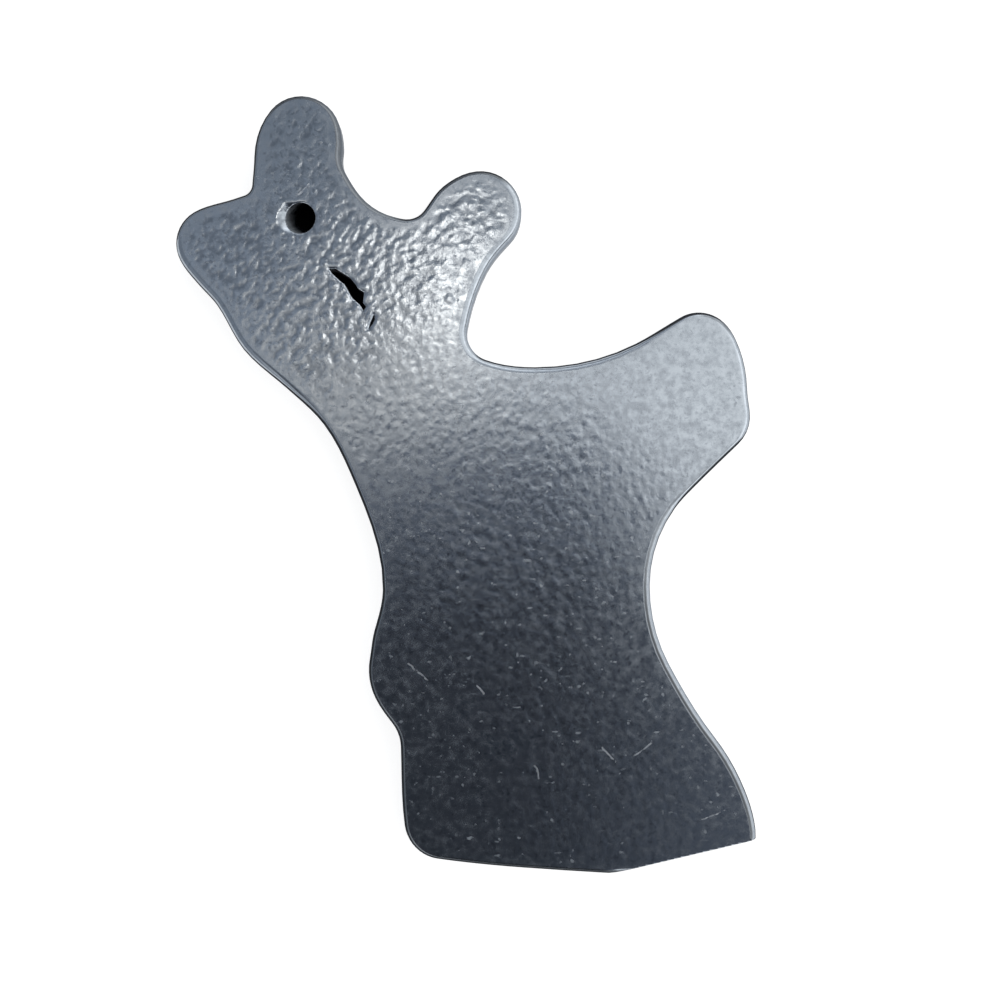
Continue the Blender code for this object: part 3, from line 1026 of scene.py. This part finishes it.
@dataclass
class CastPlate:
    """The one piece: antlers, head, body and foot, with its skin.

    Attributes:
        node: The name of the plate in the frame.
        hole: The middle of the drilled hole on the front face.
        front_mesh: The width of a mesh square on the front face.
        back_mesh: The width of a mesh square on the back face.
        weld: The distance within which corners are merged.
        cut_tolerance: The distance within which a cut keeps to a corner.
        slant_share: How far across a square an edge runs that is dissolved, as a share.
        flatness: The least upward part of the normal that a flat part has.
        rounding_slope: The least such part that the rounded edge has beside a flat face.
        patches: Where the pebbles are.
        full_depth: The depth of the pebbles that counts as full grain.
        hollow_depths: The relief at which a hollow starts and at which it is full, as shares.
        rim_start: How far from the rounded edge the pebbles start.
        rim_band: How far from it they are full.
        hole_radius: The radius of the drilled hole.
        worn_reach: How far right openings have worn edges.
        worn_width: How wide those are worn.
        worn_extra: How much wider the hole is worn on its left.
        worn_depth: How deep they are worn.
        worn_overhang: How far past the wall the wear would go on, as a share of its width.
        hole_worn_depth: How much deeper the hole is worn on its left.
        hole_worn_reach: How far from its rim that may reach, as a share of the widest wear.
        hole_worn_side: How far left of the hole a spot lies where that starts and is full.
        hole_worn_waver: How much that wavers.
        polished: Where the rim is polished round, and where its painted shade starts lower down.
        bare: Where the rim has no painted shade and its sides are plain polished metal.
        veiled: Where a thin veil of painted shade reaches up to the flat face.
        dimmed: Where a thin line of painted shade runs under the flat face.
        sharp_angle: The angle from which an edge stays sharp.
    """

    node: str
    hole: Vector
    front_mesh: float = 0.168 * MM
    back_mesh: float = 0.55 * MM
    quick_factor: int = 2
    weld: float = 0.002 * MM
    cut_tolerance: float = 0.0002 * MM
    slant_share: float = 0.01
    flatness: float = 0.9999
    rounding_slope: float = 0.5
    patches: tuple[GrainPatch, ...] = (
        GrainPatch(0.0 * MM, 22.0 * MM, 10.5 * MM, 0.026 * MM, 38, 1.3 * MM, 0.8 * MM),
        GrainPatch(2.0 * MM, 29.0 * MM, 8.0 * MM, 0.013 * MM, 30, 0.95 * MM, 0.6 * MM),
        GrainPatch(-15.0 * MM, 20.0 * MM, 15.0 * MM, 0.031 * MM, 48, 1.0 * MM, 0.75 * MM),
        GrainPatch(-10.0 * MM, 10.0 * MM, 15.0 * MM, 0.014 * MM, 65, 0.95 * MM, 0.7 * MM),
        GrainPatch(6.0 * MM, 5.0 * MM, 13.0 * MM, 0.0115 * MM, 75, 1.0 * MM, 0.7 * MM),
        GrainPatch(14.0 * MM, -4.0 * MM, 14.0 * MM, 0.007 * MM, 100, 1.0 * MM, 0.7 * MM),
        GrainPatch(20.0 * MM, 4.0 * MM, 15.0 * MM, 0.005 * MM, 85),
        GrainPatch(-16.6 * MM, 36.0 * MM, 11.0 * MM, 0.024 * MM, 60),
        GrainPatch(-26.0 * MM, 24.0 * MM, 9.0 * MM, 0.026 * MM, 60, 0.9 * MM, 0.65 * MM),
        GrainPatch(3.0 * MM, -10.0 * MM, 17.0 * MM, 0.014 * MM, -50, 1.3 * MM, 0.8 * MM),
        GrainPatch(12.0 * MM, -29.0 * MM, 18.0 * MM, 0.013 * MM, -50, 1.3 * MM, 0.8 * MM),
    )
    full_depth: float = 0.032 * MM
    hollow_depths: tuple[float, float] = (-0.1, -0.6)
    rim_start: float = 0.15 * MM
    rim_band: float = 0.7 * MM
    hole_radius: float = 1.5 * MM
    worn_reach: float = -2.0 * MM
    worn_width: float = 0.25 * MM
    worn_extra: float = 0.6 * MM
    worn_depth: float = 0.04 * MM
    worn_overhang: float = 0.4
    hole_worn_depth: float = 0.17 * MM
    hole_worn_reach: float = 1.5
    hole_worn_side: tuple[float, float] = (0.35, 0.9)
    hole_worn_waver: float = 0.4
    polished: tuple[RimStretch, ...] = (
        RimStretch(8, 58, 22.0 * MM, -8.0 * MM, 60.0 * MM, 1.0),
        RimStretch(225, 60, -27.0 * MM, 17.0 * MM, 19.0 * MM, 0.9),
        RimStretch(95, 60, 9.0 * MM, 13.0 * MM, 14.0 * MM, 0.6),
    )
    bare: tuple[RimStretch, ...] = (
        RimStretch(-10, 75, 4.0 * MM, 20.0 * MM, 16.0 * MM, 1.0),
        RimStretch(20, 70, -12.0 * MM, 34.0 * MM, 14.0 * MM, 1.0),
        RimStretch(20, 60, 17.0 * MM, -20.0 * MM, 18.0 * MM, 0.8),
    )
    veiled: tuple[RimStretch, ...] = (
        RimStretch(20, 95, -10.0 * MM, 34.0 * MM, 17.0 * MM, 0.66),
        RimStretch(95, 60, -17.0 * MM, 38.0 * MM, 12.0 * MM, 0.75),
        RimStretch(95, 60, 1.0 * MM, 31.0 * MM, 10.0 * MM, 0.75),
        RimStretch(60, 35, 25.0 * MM, 16.5 * MM, 9.0 * MM, 0.5),
        RimStretch(180, 100, -10.0 * MM, -32.0 * MM, 34.0 * MM, 0.6),
        RimStretch(-90, 50, 8.0 * MM, -38.0 * MM, 24.0 * MM, 0.75),
    )
    dimmed: tuple[RimStretch, ...] = (RimStretch(15, 75, 20.0 * MM, -24.0 * MM, 30.0 * MM, 0.9),)
    sharp_angle: float = math.radians(50)

    def face_parts(self, shape: bmesh.types.BMesh, face: Face) -> list[bmesh.types.BMFace]:
        """The mesh faces that lie flat on one side of the plate."""
        return [part for part in shape.faces if part.normal.z * face.value > self.flatness]

    def cut_lines(self, shape: bmesh.types.BMesh, face: Face, axis: int, step: float) -> None:
        """Cuts a flat face along evenly spaced lines.

        Args:
            shape: The plate.
            face: Which flat face.
            axis: The axis that the lines are square to, 0 or 1.
            step: The distance between the lines in metres.
        """
        parts = self.face_parts(shape, face)
        values = [corner.co[axis] for part in parts for corner in part.verts]
        normal = Vector((0.0, 0.0, 0.0))
        normal[axis] = 1.0
        line = min(values) + step / 2
        while line < max(values):
            parts = [part for part in parts if max(corner.co[axis] for corner in part.verts) > line]
            edges = {edge for part in parts for edge in part.edges}
            corners = {corner for part in parts for corner in part.verts}
            cut = bmesh.ops.bisect_plane(
                shape,
                geom=[*corners, *edges, *parts],
                dist=self.cut_tolerance,
                plane_co=normal * line,
                plane_no=normal,
            )
            parts = [item for item in cut["geom"] if isinstance(item, bmesh.types.BMFace)]
            line += step

    def dissolve_slants(self, shape: bmesh.types.BMesh, face: Face, step: float) -> None:
        """Removes the old triangles' edges between the cut lines of a flat face.

        Args:
            shape: The plate, cut along the lines that are square to X.
            face: Which flat face.
            step: The distance between the lines in metres.
        """
        parts = set(self.face_parts(shape, face))
        slants = [
            edge
            for edge in shape.edges
            if len(edge.link_faces) == 2
            and all(part in parts for part in edge.link_faces)
            and abs(edge.verts[0].co.x - edge.verts[1].co.x) > step * self.slant_share
        ]
        bmesh.ops.dissolve_edges(shape, edges=slants, use_verts=True, use_face_split=False)

    def fine_copy(self) -> bmesh.types.BMesh:
        """Copies the plate in the frame and gives both flat faces a square mesh.

        Returns:
            The copy, with its loose triangles merged.
        """
        shape = bmesh.new()
        shape.from_mesh(frame["nodes"][self.node].data)
        bmesh.ops.remove_doubles(shape, verts=shape.verts, dist=self.weld)
        front_mesh = self.front_mesh * 1
        for face, step in ((Face.BACK, self.back_mesh), (Face.FRONT, front_mesh)):
            self.cut_lines(shape, face, 0, step)
            self.dissolve_slants(shape, face, step)
            self.cut_lines(shape, face, 1, step)
            log.info("%s face cut: %d faces in all", face.name.lower(), len(shape.faces))
        return shape

    def borders(
        self, parts: set[bmesh.types.BMFace], face: Face
    ) -> tuple[list[bmesh.types.BMVert], list[bmesh.types.BMVert]]:
        """Sorts the corners on the border of a flat face.

        Args:
            parts: The mesh faces of the flat face.
            face: Which flat face.

        Returns:
            The corners where the plate's rounded edge starts, and those over a steep wall.
        """
        rounded = []
        steep = []
        for corner in {corner for part in parts for corner in part.verts}:
            slopes = [part.normal.z * face.value for part in corner.link_faces if part not in parts]
            if slopes:
                (rounded if min(slopes) > self.rounding_slope else steep).append(corner)
        return rounded, steep

    def lookup(self, corners: list[bmesh.types.BMVert]) -> kdtree.KDTree:
        """Prepares the search for the nearest of some corners.

        Args:
            corners: The corners.

        Returns:
            Their search tree.
        """
        tree = kdtree.KDTree(len(corners))
        for index, corner in enumerate(corners):
            tree.insert(corner.co, index)
        tree.balance()
        return tree

    def wear(self, spot: Vector, steep_distance: float) -> float:
        """How far the skin is worn down beside the hole, the mouth and the crack.

        Args:
            spot: A spot on a flat face.
            steep_distance: How far the nearest steep wall is.

        Returns:
            The depth in metres.
        """
        if spot.x > self.worn_reach:
            return 0.0
        off = (spot - self.hole).to_2d()
        width = self.worn_width
        depth = self.worn_depth
        reach = self.hole_worn_reach * (self.worn_width + self.worn_extra)
        if off.length < self.hole_radius + reach:
            left = -off.x / off.length + self.hole_worn_waver * noise.noise(spot / MM)
            side = smoothstep(left, *self.hole_worn_side)
            width += self.worn_extra * side
            depth += self.hole_worn_depth * side
        return depth * (1 - smoothstep(steep_distance, -self.worn_overhang * width, width))

    def mark_rim_shade(self, shape: bmesh.types.BMesh) -> None:
        """Marks where the rounded edge is polished round, where it is free of painted shade, and where
        that shade veils or dims it.

        Args:
            shape: The plate.
        """
        layers = [(shape.verts.layers.float[name], getattr(self, name)) for name in RIM_MARKS]
        shape.normal_update()
        for corner in shape.verts:
            if all(abs(part.normal.z) > self.flatness for part in corner.link_faces):
                continue
            outward = corner.normal.to_2d()
            for layer, stretches in layers:
                corner[layer] = max(stretch.share(corner.co, outward) for stretch in stretches)

    def press_skin(self, shape: bmesh.types.BMesh, face: Face) -> dict[int, Vector]:
        """Presses the pebbles into a flat face and wears the edges of its openings.

        Args:
            shape: The plate, with a square mesh on its flat faces.
            face: Which flat face.

        Returns:
            The normals, by corner, of the first two rows of the plate's rounded edge.
        """
        grain = shape.verts.layers.float[GRAIN]
        hollow = shape.verts.layers.float[HOLLOW]
        parts = set(self.face_parts(shape, face))
        flat = {corner for part in parts for corner in part.verts}
        rounded, steep = self.borders(parts, face)
        rounded_tree = self.lookup(rounded)
        steep_tree = self.lookup(steep)
        for corner in flat:
            spot = corner.co.copy()
            fade = smoothstep(rounded_tree.find(spot)[2], self.rim_start, self.rim_band)
            low = 0.0
            full = 0.0
            for patch in self.patches:
                share = patch.share(spot) * fade
                if share > 0:
                    full += share * patch.depth
                    low += share * patch.depth * patch.relief(spot)
            corner[grain] = min(1.0, full / self.full_depth)
            corner[hollow] = smoothstep(low / self.full_depth, *self.hollow_depths)
            low -= self.wear(spot, steep_tree.find(spot)[2])
            corner.co.z += face.value * low
        return self.rim_normals(shape, face, flat, set(rounded))

    def rim_normals(
        self,
        shape: bmesh.types.BMesh,
        face: Face,
        flat: set[bmesh.types.BMVert],
        first_row: set[bmesh.types.BMVert],
    ) -> dict[int, Vector]:
        """Keeps the rim looking flat to near the outline, but for where it is polished round.

        Args:
            shape: The plate.
            face: Which flat face.
            flat: The corners of the flat face.
            first_row: Those of them where the rounded edge starts.

        Returns:
            The normals, by corner, of the first two rows of the plate's rounded edge.
        """
        polished = shape.verts.layers.float[RIM_MARKS[0]]
        upright = Vector((0.0, 0.0, float(face.value)))
        near = (edge.other_vert(corner) for corner in first_row for edge in corner.link_edges)
        second_row = {corner for corner in near if corner not in flat}
        kept = {corner.index: upright for corner in first_row}
        for corner in second_row:
            kept[corner.index] = upright.lerp(corner.normal, corner[polished])
        return kept

    def build(self) -> bpy.types.Object:
        """Makes the skin and hangs it on the frame.

        Returns:
            The finished piece, which takes the plate's place.
        """
        shape = self.fine_copy()
        for name in (GRAIN, HOLLOW, *RIM_MARKS):
            shape.verts.layers.float.new(name)
        self.mark_rim_shade(shape)
        shape.verts.index_update()
        kept = {}
        for face in Face:
            kept.update(self.press_skin(shape, face))
        normals = [kept.get(corner.index, Vector()) for corner in shape.verts]
        piece = finished_piece(shape, "reindeer_skin", TumbledAluminium(self.hole).build())
        piece.data.shade_smooth()
        piece.data.set_sharp_from_angle(angle=self.sharp_angle)
        piece.data.normals_split_custom_set_from_vertices(normals)
        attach(piece, "root")
        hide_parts(self.node)
        triangles = sum(len(part.vertices) - 2 for part in piece.data.polygons)
        log.info("%s: %d triangles", piece.name, triangles)
        return piece


def main() -> None:
    """Builds the studio and the plate."""
    top = cad_box[1].z
    mounts = {mount["name"]: mount for mount in frame["record"]["mounts"]}
    mount = mounts["hanging_hole"]
    middle = Vector(mount["pos_m"])
    axis = Vector(mount["axis"])
    hole = middle + axis * (top - middle.z) / axis.z
    OverheadCamera(CAMERA_PLACE).build()
    log.info("camera %.0f mm above the table", CAMERA_PLACE.z / MM)
    Room(CAMERA_PLACE.z - top).build()
    log.info("room")
    Table(middle).build()
    log.info("table top and hole card")
    CastPlate("reindeer_plate", hole).build()

    bpy.context.scene.view_settings.view_transform = "Standard"


if __name__ == "__main__":
    main()
